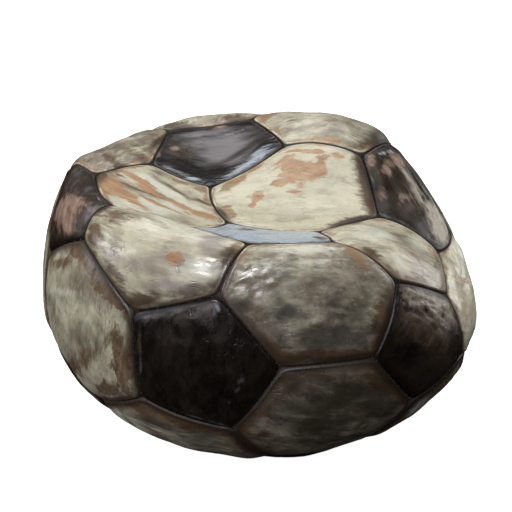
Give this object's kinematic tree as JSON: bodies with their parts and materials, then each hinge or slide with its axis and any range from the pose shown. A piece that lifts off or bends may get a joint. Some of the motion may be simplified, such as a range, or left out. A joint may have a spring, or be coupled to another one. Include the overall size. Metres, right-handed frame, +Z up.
{
  "type": "deflated football",
  "caption": "Slack, caved-in football of stitched five- and six-sided leather panels over a rubber bladder with a valve, worn, stained and dirty, lying on its flattened base.",
  "frame": {"origin": "middle of the footprint box, on the ground under the flattened base", "axes": "+Z up out of the caved-in crown, +X along the ball's widest side, -Y towards the folded lip at the front"},
  "size_m": [0.2408, 0.2194, 0.1531],
  "materials": {
    "pale_leather": "cracked cream-painted leather, semi-gloss, stained olive, grey and brown, worn to tan",
    "dark_leather": "black-painted leather, semi-gloss, rubbed through to brown and pinkish tan",
    "bladder_rubber": "matt red-brown rubber",
    "valve_rubber": "matt black rubber"
  },
  "bodies": {
    "root": {"dark_crown": "dark_leather", "dark_upper_1": "dark_leather", "dark_upper_2": "dark_leather", "dark_upper_3": "dark_leather", "dark_upper_4": "dark_leather", "dark_upper_5": "dark_leather", "dark_lower_1": "dark_leather", "dark_lower_2": "dark_leather", "dark_lower_3": "dark_leather", "dark_lower_4": "dark_leather", "dark_lower_5": "dark_leather", "dark_base": "dark_leather", "pale_crown_1": "pale_leather", "pale_crown_2": "pale_leather", "pale_crown_3": "pale_leather", "pale_crown_4": "pale_leather", "pale_crown_5": "pale_leather", "pale_upper_1": "pale_leather", "pale_upper_2": "pale_leather", "pale_upper_3": "pale_leather", "pale_upper_4": "pale_leather", "pale_upper_5": "pale_leather", "pale_lower_1": "pale_leather", "pale_lower_2": "pale_leather", "pale_lower_3": "pale_leather", "pale_lower_4": "pale_leather", "pale_lower_5": "pale_leather", "pale_base_1": "pale_leather", "pale_base_2": "pale_leather", "pale_base_3": "pale_leather", "pale_base_4": "pale_leather", "pale_base_5": "pale_leather", "bladder": "bladder_rubber", "valve_body": "valve_rubber", "valve_core": "valve_rubber"}
  },
  "joints": []
}
